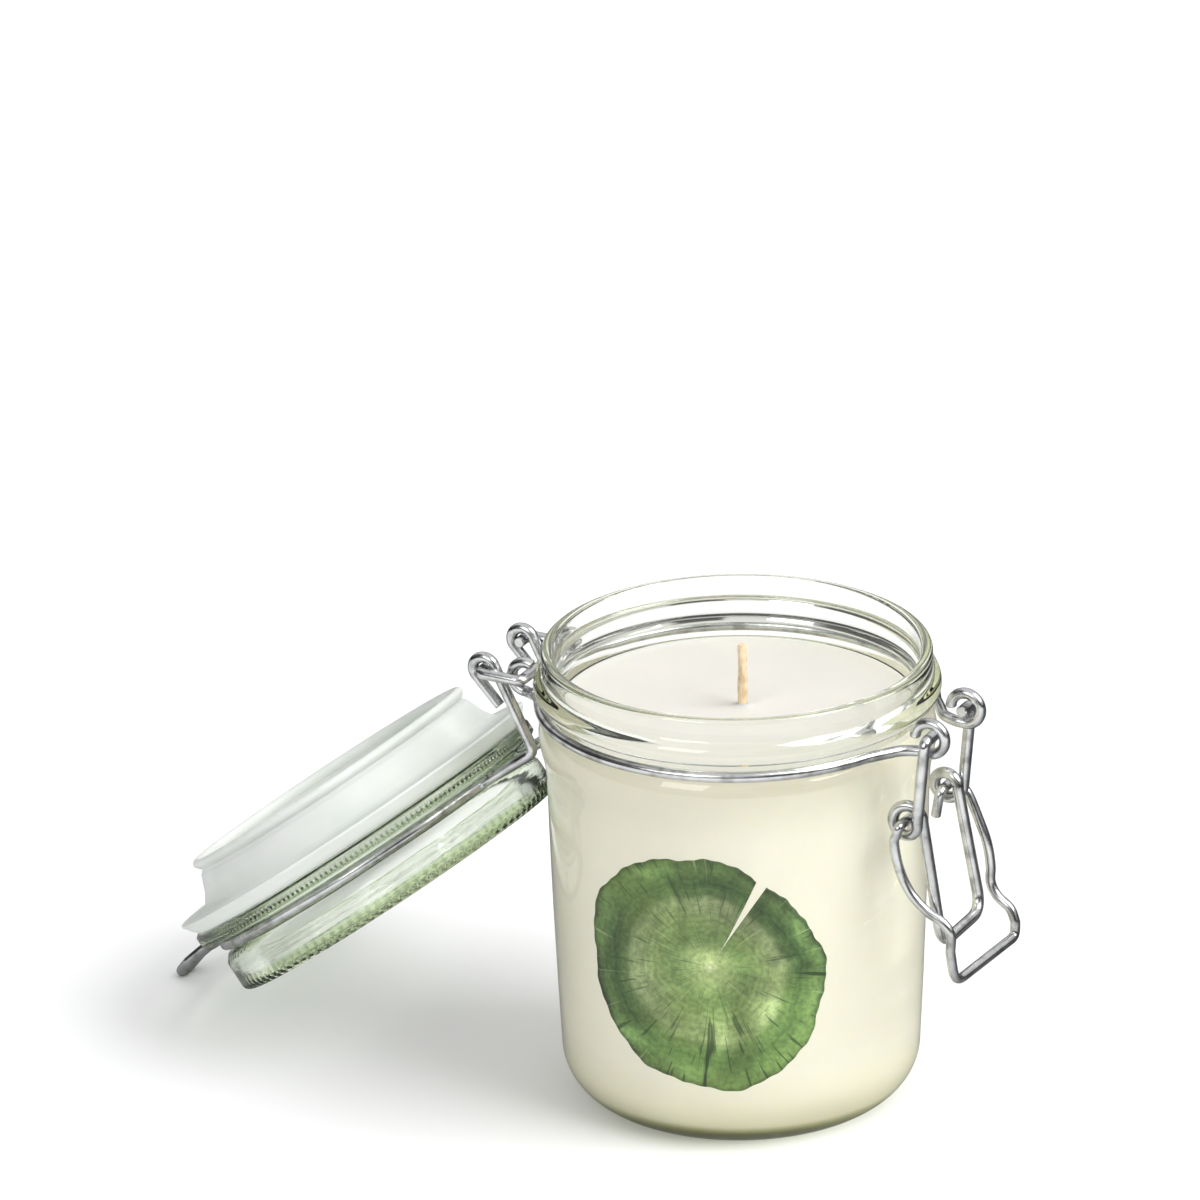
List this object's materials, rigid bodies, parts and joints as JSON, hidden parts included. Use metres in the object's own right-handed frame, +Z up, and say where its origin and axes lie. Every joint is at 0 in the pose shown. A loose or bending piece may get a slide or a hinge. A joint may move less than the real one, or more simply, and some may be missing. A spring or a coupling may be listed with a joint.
{
  "type": "bail clamp jar",
  "caption": "Glass clip-top jar holding a poured candle, with a wire-hinged ribbed glass lid, a soft translucent seal sleeve and an over-centre wire clamp",
  "frame": {"origin": "centre of the jar's flat base, on the table", "axes": "+Z up along the jar's axis, +X from the lid hinge to the clamp, Y along the hinge and clamp pivots"},
  "size_m": [0.2149, 0.0966, 0.1108],
  "materials": {
    "clear_glass": "clear pressed glass, smooth",
    "green_tint_glass": "pressed glass with a faint green tint at its thick edges",
    "cream_wax": "cream poured wax, satin",
    "wick_fibre": "waxed fibre wick, matt",
    "tinned_steel": "thin tinned steel",
    "wire_steel": "bright drawn steel wire, zinc plated",
    "milky_silicone": "translucent milky silicone, satin"
  },
  "bodies": {
    "jar": {"jar_glass": "clear_glass", "candle_wax": "cream_wax", "wick": "wick_fibre", "wick_sustainer": "tinned_steel", "neck_band_near": "wire_steel", "neck_band_far": "wire_steel", "hinge_link": "wire_steel"},
    "lid": {"lid_glass": "green_tint_glass", "lid_seal": "milky_silicone", "lid_wire": "wire_steel"},
    "lever": {"clamp_lever": "wire_steel"},
    "stirrup": {"clamp_stirrup": "wire_steel"}
  },
  "joints": [
    {"name": "lid_hinge", "type": "hinge", "parent": "jar", "child": "lid", "pos_m": [-0.0604, 0, 0.0978], "axis": [0, 1, 0], "range_deg": [0, 216.9]},
    {"name": "lever_pivot", "type": "hinge", "parent": "jar", "child": "lever", "pos_m": [0.0532, 0, 0.1], "axis": [0, -1, 0], "range_deg": [0, 90]},
    {"name": "stirrup_pivot", "type": "hinge", "parent": "lever", "child": "stirrup", "pos_m": [0.04795, 0, 0.0795], "axis": [0, -1, 0], "range_deg": [0, 98]}
  ]
}
